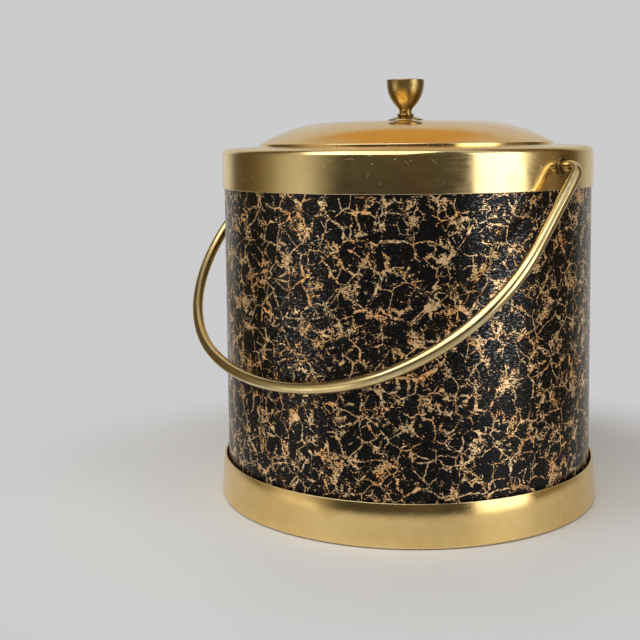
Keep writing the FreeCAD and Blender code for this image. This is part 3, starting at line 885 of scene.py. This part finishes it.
def rim_shape(segments=AROUND_BODY):
    """The rim turned round Z, with two round holes for the eyelets.

    Round each hole a square block of the grid is eased onto circles: the point m rings from
    the block's middle goes to direction * (hole radius + (m - ring) * pitch), blended with
    where it was. The quads inside ring HOLE_RING are left out, and a strip of quads joins
    the hole's edge on the outer face to the one on the inner face.
    """
    outline, walked = facing_out(*rim_outline())
    points, corners, uv = turned(outline, walked, segments, True)
    upright = np.isclose(outline[:, 1], PIVOT_Z, atol=1e-6)
    faces_at = [np.flatnonzero(upright & np.isclose(outline[:, 0], r, atol=1e-6))[0]
                for r in (RIM_R, RIM_R - RIM_T)]
    row_of, column_of = np.divmod(corners, segments)
    offsets = np.arange(-HOLE_ROWS, HOLE_ROWS + 1)
    di, dj = [a.ravel() for a in np.meshgrid(offsets, offsets, indexing="ij")]
    rings = np.maximum(abs(di), abs(dj))
    keep = np.ones(len(corners), bool)
    edge_strips = []
    for side in (0, segments // 2):
        loops = []
        for middle in faces_at:
            ids = (middle + di) * segments + (side + dj) % segments
            here = points[ids]
            radius = np.hypot(here[0, 0], here[0, 1])
            angle = 2 * np.pi * (side + dj) / segments
            flat = np.stack([dj * 2 * np.pi * radius / segments, here[:, 2] - PIVOT_Z], -1)
            size = np.linalg.norm(flat, axis=1)
            size[size == 0] = 1.0
            reach = PIVOT_HOLE_R + (rings - HOLE_RING) * HOLE_PITCH
            circle = flat / size[:, None] * reach[:, None]
            ease = np.clip((rings - HOLE_RING) / (HOLE_ROWS - HOLE_RING), 0, 1)[:, None]
            flat = circle + (flat - circle) * ease
            angle = 2 * np.pi * side / segments + flat[:, 0] / radius
            points[ids] = np.stack([radius * np.cos(angle), radius * np.sin(angle),
                                    PIVOT_Z + flat[:, 1]], -1)
            on_edge = ids[rings == HOLE_RING]
            edge_way = np.arctan2(*flat[rings == HOLE_RING].T[::-1])
            loops.append(on_edge[np.argsort(edge_way)])
            turned_columns = (column_of - side + segments // 2) % segments - segments // 2
            inside = (abs(row_of - middle) <= HOLE_RING) & (abs(turned_columns) <= HOLE_RING)
            keep &= ~inside.all(1)
        outer, inner = loops
        edge_strips.append(np.stack([outer, np.roll(outer, -1), np.roll(inner, -1), inner], -1))
    strips = np.concatenate(edge_strips)
    corners = np.concatenate([corners[keep], strips])
    uv = np.concatenate([uv[keep], np.zeros((len(strips), 4, 2))])
    return points, corners, uv


def foot_shape():
    """Rolled in at the top, flared a little, with a tight corner and a hem under the board."""
    corner_z = FOOT_BOTTOM + FOOT_CORNER_R * (1 + math.sin(math.radians(FOOT_FLARE)))
    outline = sheet(
        (FOOT_R, FOOT_TOP), -90.0 + FOOT_FLARE + FOOT_ROLL,
        [("bend", FOOT_ROLL_R, -FOOT_ROLL),
         ("to_b", corner_z),
         ("bend", FOOT_CORNER_R, -90.0 - FOOT_FLARE),
         ("to_a", FOOT_HEM_R)], -FOOT_T)
    return turned(*outline, AROUND_BODY, True)


def felt_shape():
    """A flat disc with a rounded edge, from the middle of its underside to that of its top."""
    side = FELT_TOP - 2 * FELT_EDGE_R
    outline, _ = walk((0.0, 0.0), 0.0, [
        ("run", FELT_R - FELT_EDGE_R), ("bend", FELT_EDGE_R, 90.0), ("run", side),
        ("bend", FELT_EDGE_R, 90.0), ("to_a", 0.0)])
    return turned(outline, measure(outline), AROUND_INSIDE, False)


def liner_shape():
    """A pot with a flat flange, a rounded mouth, a wall that tapers in and a round corner."""
    corner_z = LINER_FLOOR + LINER_CORNER_R * (1 - math.sin(math.radians(LINER_DRAFT)))
    outline = sheet(
        (LINER_FLANGE_R, LINER_TOP), 180.0,
        [("to_a", LINER_MOUTH_R + LINER_LIP_R),
         ("bend", LINER_LIP_R, 90.0 - LINER_DRAFT),
         ("to_b", corner_z),
         ("bend", LINER_CORNER_R, LINER_DRAFT - 90.0),
         ("to_a", 0.0)], LINER_T, to_axis=True)
    return turned(*outline, AROUND_INSIDE, False)


# ---- shapes of the lid --------------------------------------------------------------
def lid_shape():
    """Nearly flat crown, round shoulder, straight skirt and an edge turned down."""
    hole = math.asin(LID_HOLE_R / LID_CROWN_R)
    start = (LID_HOLE_R, LID_TOP - LID_CROWN_R * (1 - math.cos(hole)))
    outline = sheet(
        start, -math.degrees(hole),
        [("bend", LID_CROWN_R, math.degrees(hole) - LID_CROWN_TURN),
         ("bend", LID_SHOULDER_R, LID_CROWN_TURN - LID_SLOPE),
         ("to_a", LID_SKIRT_R),
         ("bend", LID_EDGE_R, LID_SLOPE - 90.0),
         ("to_b", LID_EDGE)], -LID_T)
    return turned(*outline, AROUND_BODY, True)


def plug_shape():
    """A shallow pan with a flange, hung under the dome."""
    corner_z = PLUG_FLOOR + PLUG_CORNER_R * (1 - math.sin(math.radians(PLUG_DRAFT)))
    outline = sheet(
        (PLUG_FLANGE_R, PLUG_TOP), 180.0,
        [("to_a", PLUG_WALL_R + PLUG_LIP_R),
         ("bend", PLUG_LIP_R, 90.0 - PLUG_DRAFT),
         ("to_b", corner_z),
         ("bend", PLUG_CORNER_R, PLUG_DRAFT - 90.0),
         ("to_a", 0.0)], PLUG_T, to_axis=True)
    return turned(*outline, AROUND_INSIDE, False)


def knob_shape():
    """Flat top, egg-shaped cup, neck, bead and spread foot, and the screw's bore below."""
    outline, _ = walk((0.0, KNOB_TOP), 0.0, [
        ("bend", KNOB_TOP_R, -KNOB_TOP_TURN),
        ("bend", KNOB_RIM_R, KNOB_TOP_TURN - 90.0),
        ("run", KNOB_RIM_H),
        ("bend", KNOB_CUP_R, -KNOB_CUP_TURN),
        ("run", KNOB_CONE),
        ("bend", KNOB_NECK_R, KNOB_CUP_TURN),
        ("to_b", LID_TOP + KNOB_BEAD_H + KNOB_FILLET_R),
        ("bend", KNOB_FILLET_R, 90.0),
        ("run", KNOB_BEAD_OUT - KNOB_FILLET_R),
        ("bend", KNOB_BEAD_R, -180.0),
        ("bend", KNOB_FILLET_R, 180.0 - KNOB_FOOT_DROP),
        ("bend", KNOB_FOOT_R, KNOB_FOOT_TURN),
        ("run", KNOB_FOOT_SPREAD),
        ("bend", KNOB_FOOT_EDGE_R, KNOB_FOOT_DROP - KNOB_FOOT_TURN - 90.0),
        ("to_b", LID_TOP + KNOB_FILLET_R),
        ("bend", KNOB_FILLET_R, -90.0),
        ("to_a", KNOB_BORE_R + KNOB_FILLET_R),
        ("bend", KNOB_FILLET_R, -90.0),
        ("to_b", LID_TOP + KNOB_BORE_DEPTH),
        ("bend", KNOB_FILLET_R, 90.0),
        ("to_a", 0.0)])
    return turned(outline, measure(outline), AROUND_KNOB, False)


# ---- shapes of the bail -------------------------------------------------------------
def eyelet_shape(side):
    """Flat flange outside, flared mouth, tube and a clinch inside, turned round the pivot
    line: the turned shape's (x, y, z) goes to (z, y, -x) on the right and (-z, y, x) on the
    left."""
    outline = sheet(
        (EYELET_FLANGE_R, EYELET_FACE), 180.0,
        [("to_a", EYELET_BORE_R + EYELET_MOUTH_R),
         ("bend", EYELET_MOUTH_R, 90.0),
         ("to_b", EYELET_CLINCH_X + EYELET_CLINCH_R),
         ("bend", EYELET_CLINCH_R, 90.0),
         ("to_a", EYELET_RIM_R)], EYELET_T)
    points, corners, uv = turned(*outline, AROUND_EYELET, True)
    x, y, z = points.T
    return np.stack([side * z, y, PIVOT_Z - side * x], -1), corners, uv


def bail_depth():
    """From the pivot line to the crown's middle; the crown's arc meets both side arcs."""
    turn = math.radians(BAIL_SIDE_TURN)
    crown_r = (BAIL_HALF_WIDTH - BAIL_SIDE_R * (1 - math.cos(turn))) / math.cos(turn)
    return BAIL_LEG + BAIL_SIDE_R * math.sin(turn) + crown_r * (1 - math.sin(turn)), crown_r


def bail_shape(around=AROUND_ROD, flatten=0.10, reach=5.0 * MM, chamfer=0.5 * MM):
    """A ring carried along the bail's path: P(s) + a(s) cos f N + b(s) sin f B.

    The path lies in a plane that hangs from the pivot line until the crown rests on the wrap.
    N is in that plane and B across it. Both radii are the rod's, but at the end bends the
    rod is a little flattened by its bending, and at its ends they shrink on a quarter circle.
    """
    depth, crown_r = bail_depth()
    hang = math.acos((WRAP_R + ROD_R + BAIL_REST_GAP) / depth)
    leg = BAIL_LEG - BAIL_END_BEND_R
    half = [("rows", chamfer, EDGE_POINTS),
            ("rows", BAIL_HALF_WIDTH - BAIL_END_BEND_R - ROD_END_X - chamfer, BAIL_END_ROWS),
            ("bend", BAIL_END_BEND_R, -90.0),
            ("rows", leg, BAIL_LEG_ROWS),
            ("bend", BAIL_SIDE_R, -BAIL_SIDE_TURN)]
    crown = ("bend", crown_r, 2 * BAIL_SIDE_TURN - 180.0)
    points, angles = walk((ROD_END_X, 0.0), 0.0, half + [crown] + half[::-1])
    walked = measure(points)
    total = walked[-1]
    short = (1 - np.minimum(walked, total - walked) / chamfer).clip(0, 1)
    shrink = 1 - chamfer / ROD_R * (1 - np.sqrt(1 - short ** 2))
    bend_at = BAIL_HALF_WIDTH - BAIL_END_BEND_R - ROD_END_X + BAIL_END_BEND_R * np.pi / 4
    near_bend = np.minimum(abs(walked - bend_at), abs(total - bend_at - walked))
    dent = flatten * np.exp(-(near_bend / reach) ** 2)
    down = np.array([0.0, math.cos(hang), math.sin(hang)])
    across = np.array([0.0, -math.sin(hang), math.cos(hang)])
    middle = (points[:, :1] * [1.0, 0.0, 0.0] + points[:, 1:] * down) + [0.0, 0.0, PIVOT_Z]
    side = left(angles)
    inward = side[:, :1] * [1.0, 0.0, 0.0] + side[:, 1:] * down
    f = 2 * np.pi * np.arange(around) / around
    a = (ROD_R * shrink * (1 - dent))[:, None, None]
    b = (ROD_R * shrink * (1 + dent / 2))[:, None, None]
    rings = (middle[:, None] + a * np.cos(f)[:, None] * inward[:, None]
             + b * np.sin(f)[:, None] * across)
    rows = len(points)
    i, j = quads(rows, around, False, True)
    uv = np.stack([walked[i], j * 2 * np.pi * ROD_R / around], -1)
    corners = i * around + j % around
    caps = []
    for row, order in ((0, (1, 0)), (rows - 1, (0, 1))):
        ring = row * around + np.arange(around)
        pole = np.full(around, rows * around + (row > 0))
        pair = (ring, np.roll(ring, -1))
        caps.append(np.stack([pole, pole, pair[order[0]], pair[order[1]]], -1))
    corners = np.concatenate([corners, *caps])
    uv = np.concatenate([uv, np.zeros((2 * around, 4, 2))])
    all_points = np.concatenate([rings.reshape(-1, 3), middle[[0, -1]]])
    return all_points, corners, uv


# ---- the stage ----------------------------------------------------------------------
FACING = math.radians(-49.2)             # azimuth, from +X, of the way from object to camera
WALLS = (                                # degrees to the right of that way, and the colour
    (-180, (0.60, 0.585, 0.55)), (-160, (0.60, 0.585, 0.55)), (-150, (0.70, 0.68, 0.63)),
    (-138, (0.62, 0.60, 0.55)), (-128, (0.10, 0.08, 0.05)), (-108, (0.11, 0.08, 0.045)),
    (-98, (0.17, 0.135, 0.08)), (-88, (0.28, 0.25, 0.18)), (-78, (0.47, 0.44, 0.37)),
    (-66, (0.62, 0.59, 0.51)), (-56, (0.46, 0.44, 0.37)), (-46, (0.27, 0.26, 0.20)),
    (-36, (0.065, 0.066, 0.05)), (-8, (0.085, 0.08, 0.055)), (2, (0.11, 0.07, 0.042)),
    (14, (0.11, 0.075, 0.04)), (20, (0.075, 0.10, 0.08)), (28, (0.07, 0.055, 0.035)),
    (36, (0.075, 0.055, 0.035)), (41, (0.62, 0.62, 0.60)), (73, (0.62, 0.62, 0.60)),
    (79, (0.20, 0.155, 0.09)), (97, (0.22, 0.16, 0.085)), (106, (0.10, 0.07, 0.035)),
    (120, (0.11, 0.08, 0.04)), (132, (0.40, 0.38, 0.32)), (142, (0.58, 0.56, 0.50)),
    (160, (0.60, 0.585, 0.55)), (180, (0.60, 0.585, 0.55)))
WARM_CORNER, CEILING = (0.60, 0.38, 0.13), (0.42, 0.41, 0.40)
UNDER_HORIZON, FAR_FLOOR = (0.05, 0.045, 0.04), (0.42, 0.42, 0.42)
LOW_WINDOW = (1.25, 1.20, 1.10)
# Where each of those begins and ends: heights are sines of the elevation, bearings radians.
WARM_BEARING, WARM_BOTTOM, WARM_TOP = (2.68, 2.92), (0.55, 0.64), (0.93, 0.85)
CEILING_BOTTOM, HORIZON, FAR_FLOOR_TOP = (0.88, 0.98), (0.0, -0.05), (-0.15, -0.23)
IN_FRONT = (0.50, 0.80)                  # share of the way that points towards the camera
LOW_WINDOW_LEFT, LOW_WINDOW_RIGHT = np.radians((-90.0, -76.0)), np.radians((-46.0, -58.0))
LOW_WINDOW_TOP = (-0.06, -0.13)
OBJECT_MIDDLE = Vector((0.0, 0.0, 0.11))
LIGHT_TINT = (1.0, 0.99, 0.97)
FLOOR_RINGS, FLOOR_SPOKES = 25, 128
FLOOR_SOLID, FLOOR_GONE = 0.55, 0.94     # shares of the floor's radius that it fades between


def soft_light(name, degrees_right, elevation, distance, width, height, power):
    """An area light aimed at the object from that bearing, elevation and distance."""
    a, e = FACING + math.radians(degrees_right), math.radians(elevation)
    way = Vector((math.cos(a) * math.cos(e), math.sin(a) * math.cos(e), math.sin(e)))
    lamp = bpy.data.lights.new(name, "AREA")
    lamp.shape = "RECTANGLE"
    lamp.size, lamp.size_y = width, height
    lamp.energy, lamp.color = power, LIGHT_TINT
    light = bpy.data.objects.new(name, lamp)
    light.location = OBJECT_MIDDLE + distance * way
    light.rotation_euler = (-way).to_track_quat("-Z", "Y").to_euler()
    light.visible_camera = False
    bpy.context.scene.collection.objects.link(light)


def wall_colours(w, bearing):
    ramp = w.put("ValToRGB", None, Fac=w.calc("MULTIPLY_ADD", bearing, 0.5 / math.pi, 0.5))
    stops = ramp.color_ramp.elements
    for place, tint in WALLS[1:-1]:
        stops.new((place + 180) / 360)
    for stop, (place, tint) in zip(stops, WALLS):
        stop.position = (place + 180) / 360
        stop.color = (*tint, 1.0)
    return ramp.outputs["Color"]


def studio_world(look):
    """Pale and dark walls by bearing, a warm corner behind, a ceiling, and a plain backdrop."""
    world = bpy.data.worlds.new("Studio")
    world.use_nodes = True
    world.node_tree.nodes.clear()
    w = Wiring(world.node_tree)
    way = w.turned(w.put("TexCoord").outputs["Generated"], -FACING)
    parts = w.put("SeparateXYZ", None, Vector=way).outputs
    bearing, height = w.calc("ARCTAN2", parts["Y"], parts["X"]), parts["Z"]
    behind = w.times(w.fade(w.calc("ABSOLUTE", bearing), *WARM_BEARING),
                     w.fade(height, *WARM_BOTTOM), w.fade(height, *WARM_TOP))
    below = w.times(w.fade(height, *HORIZON), w.fade(parts["X"], *IN_FRONT))
    low = w.times(w.fade(bearing, *LOW_WINDOW_LEFT), w.fade(bearing, *LOW_WINDOW_RIGHT),
                  w.fade(height, *LOW_WINDOW_TOP))
    under = w.mix(w.fade(height, *FAR_FLOOR_TOP), UNDER_HORIZON, FAR_FLOOR)
    tint = wall_colours(w, bearing)
    for mask, part in ((behind, WARM_CORNER), (w.fade(height, *CEILING_BOTTOM), CEILING),
                       (below, under), (low, LOW_WINDOW)):
        tint = w.mix(mask, tint, part)
    studio = w.put("Background", None, Color=tint, Strength=look.ambient)
    plain = w.put("Background", None, Color=look.backdrop, Strength=1.0)
    seen = w.put("LightPath").outputs["Is Camera Ray"]
    both = w.put("MixShader", None, v0=seen, v1=studio.outputs[0], v2=plain.outputs[0])
    world.node_tree.nodes.active = w.put("OutputWorld", None, Surface=both.outputs[0])
    bpy.context.scene.world = world


def stage_floor(look):
    """A pale ring round the foot that fades out at its rim and can't be seen from below.

    It is open under the foot, so that the underside has light when it is looked at.
    """
    radius = look.floor_radius
    rings = np.linspace(radius, FOOT_HEM_R + 1.0 * MM, FLOOR_RINGS)
    outline = np.stack([rings, np.zeros(FLOOR_RINGS)], -1)
    material, w, shader = finish("Pale Floor", IOR=1.45)
    place = object_place(w)
    cloud = w.noise(place, 6.0, 3.0, 0.55)
    shown = w.fade(w.vector("LENGTH", w.scaled(place, 1.0, 1.0, 0.0)),
                   FLOOR_GONE * radius, FLOOR_SOLID * radius)
    front = w.calc("SUBTRACT", 1.0, w.put("NewGeometry").outputs["Backfacing"])
    feed(w, shader, Base_Color=w.mix(cloud, look.floor, shade(look.floor, 1.04)),
         Roughness=w.spread(cloud, 0.45, 0.6), Alpha=w.times(shown, front),
         Normal=w.bump(w.noise(place, 900.0, 3.0, 0.6), 0.02 * MM))
    i, j = quads(FLOOR_RINGS, FLOOR_SPOKES, False, True)
    corners = i * FLOOR_SPOKES + j % FLOOR_SPOKES
    points = lathe(outline, FLOOR_SPOKES).reshape(-1, 3)
    mesh = make_mesh("floor", points, corners, np.stack([j, i], -1) * 10.0 * MM)
    mesh.materials.append(material)
    floor = bpy.data.objects.new("floor", mesh)
    bpy.context.scene.collection.objects.link(floor)


def stage_camera(look):
    """Camera at its place: heading turns it about Z, pitch lowers it, roll tilts it."""
    y, p, r = look.heading, look.pitch, look.roll
    onward = Vector((math.sin(y) * math.cos(p), math.cos(y) * math.cos(p), -math.sin(p)))
    level = Vector((math.cos(y), -math.sin(y), 0.0))
    upward = level.cross(onward)
    across = level * math.cos(r) + upward * math.sin(r)
    upright = upward * math.cos(r) - level * math.sin(r)
    camera = bpy.data.objects.new("camera", bpy.data.cameras.new("camera"))
    camera.matrix_world = Matrix((
        (across.x, upright.x, -onward.x, look.place[0]),
        (across.y, upright.y, -onward.y, look.place[1]),
        (across.z, upright.z, -onward.z, look.place[2]),
        (0.0, 0.0, 0.0, 1.0)))
    camera.data.lens = look.lens
    camera.data.sensor_width = 36.0
    camera.data.shift_y = look.drop
    camera.data.clip_start = 0.01
    bpy.context.scene.collection.objects.link(camera)
    bpy.context.scene.camera = camera


# ---- operators ----------------------------------------------------------------------
class ICE_BUCKET_OT_cloth(bpy.types.Operator):
    """Leathercloth wrapped round the body, with its seam at the back"""
    bl_idname = "ice_bucket.cloth"
    bl_label = "Leathercloth"

    def execute(self, context):
        add_piece("wrap_cloth", wrap_shape(), "bucket",
                  leathercloth(context.scene.ice_bucket_wrap), "vinyl_wrap")
        return {"FINISHED"}


class ICE_BUCKET_OT_rim(bpy.types.Operator):
    """Spun rim band with its ledge, its lip and the two pivot holes"""
    bl_idname = "ice_bucket.rim"
    bl_label = "Rim band"

    def execute(self, context):
        look = context.scene.ice_bucket_metal
        gold = spun_metal("Rim Gold", look, look.band, BAND_ROUGH, (0.0,))
        add_piece("rim_band", rim_shape(), "bucket", gold, "top_band")
        return {"FINISHED"}


class ICE_BUCKET_OT_foot(bpy.types.Operator):
    """Spun foot band with a flare and a hem"""
    bl_idname = "ice_bucket.foot"
    bl_label = "Foot band"

    def execute(self, context):
        look = context.scene.ice_bucket_metal
        gold = spun_metal("Foot Gold", look, look.foot, BAND_ROUGH, (0.0, FOOT_TOP - FOOT_BOTTOM))
        add_piece("foot_band", foot_shape(), "bucket", gold, "base_band")
        return {"FINISHED"}


class ICE_BUCKET_OT_lid(bpy.types.Operator):
    """Spun dome of the lid"""
    bl_idname = "ice_bucket.lid"
    bl_label = "Lid"

    def execute(self, context):
        look = context.scene.ice_bucket_metal
        gold = spun_metal("Lid Gold", look, look.lid, LID_ROUGH, (LID_SKIRT_R,), smooth=0.5)
        add_piece("lid_dome", lid_shape(), "lid", gold, "lid_shell")
        return {"FINISHED"}


class ICE_BUCKET_OT_knob(bpy.types.Operator):
    """Cast urn on the lid"""
    bl_idname = "ice_bucket.knob"
    bl_label = "Knob"

    def execute(self, context):
        look = context.scene.ice_bucket_metal
        brass = old_brass("Cast Brass", look, look.knob, rough=0.27, size=2.6 * MM, amount=0.46,
                          polish=0.40)
        add_piece("knob_urn", knob_shape(), "lid", brass, "knob")
        return {"FINISHED"}


class ICE_BUCKET_OT_bail(bpy.types.Operator):
    """Rod bail"""
    bl_idname = "ice_bucket.bail"
    bl_label = "Bail"

    def execute(self, context):
        add_piece("bail_rod", bail_shape(), "bail",
                  drawn_brass(context.scene.ice_bucket_metal), "bail")
        return {"FINISHED"}


class ICE_BUCKET_OT_eyelets(bpy.types.Operator):
    """The two eyelets that the bail turns in"""
    bl_idname = "ice_bucket.eyelets"
    bl_label = "Eyelets"

    def execute(self, context):
        look = context.scene.ice_bucket_metal
        brass = old_brass("Eyelet Brass", look, shade(look.bail, 0.55), rough=0.26,
                          size=1.6 * MM, amount=0.65, polish=0.1)
        for side, word in ((1, "right"), (-1, "left")):
            add_piece("eyelet_trim_" + word, eyelet_shape(side), "bucket",
                      brass, "eyelet_" + word)
        return {"FINISHED"}


class ICE_BUCKET_OT_pot(bpy.types.Operator):
    """Moulded pot inside the bucket and the plug under the lid"""
    bl_idname = "ice_bucket.pot"
    bl_label = "Pot and plug"

    def execute(self, context):
        plastic = moulded_plastic(context.scene.ice_bucket_inside)
        add_piece("liner_pot", liner_shape(), "bucket", plastic, "inner_liner")
        add_piece("lid_plug", plug_shape(), "lid", plastic, "lid_pan")
        return {"FINISHED"}


class ICE_BUCKET_OT_felt(bpy.types.Operator):
    """Felt that the bucket stands on"""
    bl_idname = "ice_bucket.felt"
    bl_label = "Felt"

    def execute(self, context):
        add_piece("felt_pad", felt_shape(), "bucket",
                  felt(context.scene.ice_bucket_inside), "base_felt")
        return {"FINISHED"}


class ICE_BUCKET_OT_core(bpy.types.Operator):
    """Finishes of the board, the foam and the small steel parts, which keep their shapes"""
    bl_idname = "ice_bucket.core"
    bl_label = "Core"

    def execute(self, context):
        inside = context.scene.ice_bucket_inside
        finish_nodes(fibreboard(inside), "outer_shell", "base_board")
        finish_nodes(bead_foam(inside), "foam_jacket", "foam_base", "lid_foam")
        finish_nodes(zinc_steel(context.scene.ice_bucket_metal), "eyelet_washer_right",
                     "eyelet_washer_left", "bail_washer_right", "bail_washer_left",
                     "push_nut_right", "push_nut_left", "knob_screw", "knob_screw_washer")
        return {"FINISHED"}


class ICE_BUCKET_OT_stage(bpy.types.Operator):
    """Camera, pale floor, studio walls and two soft lights"""
    bl_idname = "ice_bucket.stage"
    bl_label = "Stage"

    def execute(self, context):
        look = context.scene.ice_bucket_stage
        stage_camera(look)
        stage_floor(look)
        studio_world(look)
        soft_light("window", -30.0, 48.0, 1.3, 1.5, 1.3, look.window_power)
        soft_light("side", 55.0, 7.0, 1.25, 0.74, 0.92, look.side_power)
        context.scene.view_settings.view_transform = "Standard"
        return {"FINISHED"}


OPERATORS = (ICE_BUCKET_OT_cloth, ICE_BUCKET_OT_rim, ICE_BUCKET_OT_foot, ICE_BUCKET_OT_lid,
             ICE_BUCKET_OT_knob, ICE_BUCKET_OT_bail, ICE_BUCKET_OT_eyelets, ICE_BUCKET_OT_pot,
             ICE_BUCKET_OT_felt, ICE_BUCKET_OT_core, ICE_BUCKET_OT_stage)


class ICE_BUCKET_PT_panel(bpy.types.Panel):
    """Lists the operators in the order that builds the bucket"""
    bl_label = "Ice Bucket"
    bl_idname = "ICE_BUCKET_PT_panel"
    bl_space_type = "VIEW_3D"
    bl_region_type = "UI"
    bl_category = "Ice Bucket"

    def draw(self, context):
        for operator in OPERATORS:
            self.layout.operator(operator.bl_idname)
        for name, group in SETTINGS.items():
            box = self.layout.box()
            box.label(text=group.__doc__)
            for field in group.__annotations__:
                box.prop(getattr(context.scene, name), field)


def register():
    for name, group in SETTINGS.items():
        bpy.utils.register_class(group)
        setattr(bpy.types.Scene, name, PointerProperty(type=group))
    for kind in (*OPERATORS, ICE_BUCKET_PT_panel):
        bpy.utils.register_class(kind)


def unregister():
    for kind in reversed((*OPERATORS, ICE_BUCKET_PT_panel)):
        bpy.utils.unregister_class(kind)
    for name, group in SETTINGS.items():
        delattr(bpy.types.Scene, name)
        bpy.utils.unregister_class(group)


def main():
    """Builds every piece and dresses the stage."""
    register()
    for operator in OPERATORS:
        getattr(bpy.ops.ice_bucket, operator.bl_idname.split(".")[1])()


if __name__ == "__main__":
    main()
